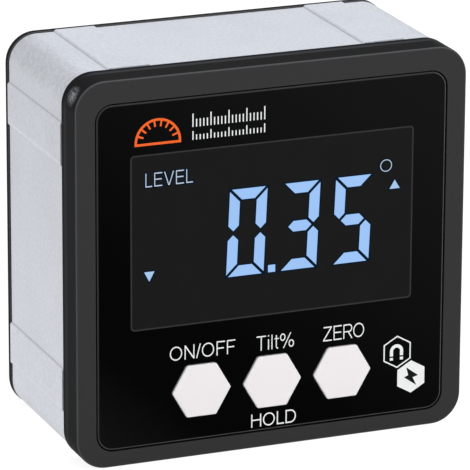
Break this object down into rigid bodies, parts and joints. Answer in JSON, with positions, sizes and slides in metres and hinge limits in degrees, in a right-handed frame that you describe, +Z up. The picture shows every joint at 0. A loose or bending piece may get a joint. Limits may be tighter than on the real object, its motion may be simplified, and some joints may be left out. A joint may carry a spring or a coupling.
{
  "type": "digital angle gauge",
  "caption": "Box-shaped digital angle gauge: aluminium frame with measuring pads, black covers, lit display and hexagonal push buttons; reads the tilt of what it stands on.",
  "frame": {"origin": "middle of the base, on the plane of the two lower measuring pads", "axes": "+Z up, -Y out of the display, +X to the right as the display is read"},
  "size_m": [0.06, 0.0312, 0.0575],
  "materials": {
    "anodised_aluminium": "fine blasted and clear anodised",
    "black_moulding": "fine spark-eroded texture",
    "black_panel": "polished, printed from behind",
    "white_key": "satin moulding",
    "soft_black": "matt silicone",
    "display_glass": "dark display glass",
    "white_moulding": "plain moulding",
    "clear_guide": "frosted light guide",
    "contact_rubber": "layered conductive rubber",
    "circuit_board": "green solder mask",
    "chip_resin": "moulded resin",
    "plated_steel": "zinc plated",
    "black_steel": "black oxide",
    "magnet_nickel": "nickel plated",
    "cell_foil": "laminated foil",
    "lead_cover": "insulated wire"
  },
  "bodies": {
    "housing": {"frame": "anodised_aluminium", "front_bezel": "black_moulding", "front_gasket": "soft_black", "front_panel": "black_panel", "power_switch": "plated_steel", "tilt_switch": "plated_steel", "zero_switch": "plated_steel", "display_glass": "display_glass", "display_holder": "white_moulding", "light_guide": "clear_guide", "zebra_strip": "contact_rubber", "main_board": "circuit_board", "controller_chip": "chip_resin", "tilt_sensor": "chip_resin", "board_screws": "plated_steel", "left_magnet": "magnet_nickel", "right_magnet": "magnet_nickel", "rear_gasket": "soft_black", "rear_cover": "black_moulding", "cover_screws": "black_steel", "battery_cell": "cell_foil", "charge_board": "circuit_board", "charge_socket": "plated_steel", "charge_leads": "lead_cover", "charge_screws": "plated_steel", "port_plug": "soft_black"},
    "power_key": {"power_button": "white_key", "power_stem": "chip_resin"},
    "tilt_key": {"tilt_button": "white_key", "tilt_stem": "chip_resin"},
    "zero_key": {"zero_button": "white_key", "zero_stem": "chip_resin"}
  },
  "joints": [
    {"name": "power_press", "type": "slide", "parent": "housing", "child": "power_key", "axis": [0, 1, 0], "range_m": [0, 0.0003], "stiffness_N_per_m": 5000},
    {"name": "tilt_press", "type": "slide", "parent": "housing", "child": "tilt_key", "axis": [0, 1, 0], "range_m": [0, 0.0003], "stiffness_N_per_m": 5000},
    {"name": "zero_press", "type": "slide", "parent": "housing", "child": "zero_key", "axis": [0, 1, 0], "range_m": [0, 0.0003], "stiffness_N_per_m": 5000}
  ]
}
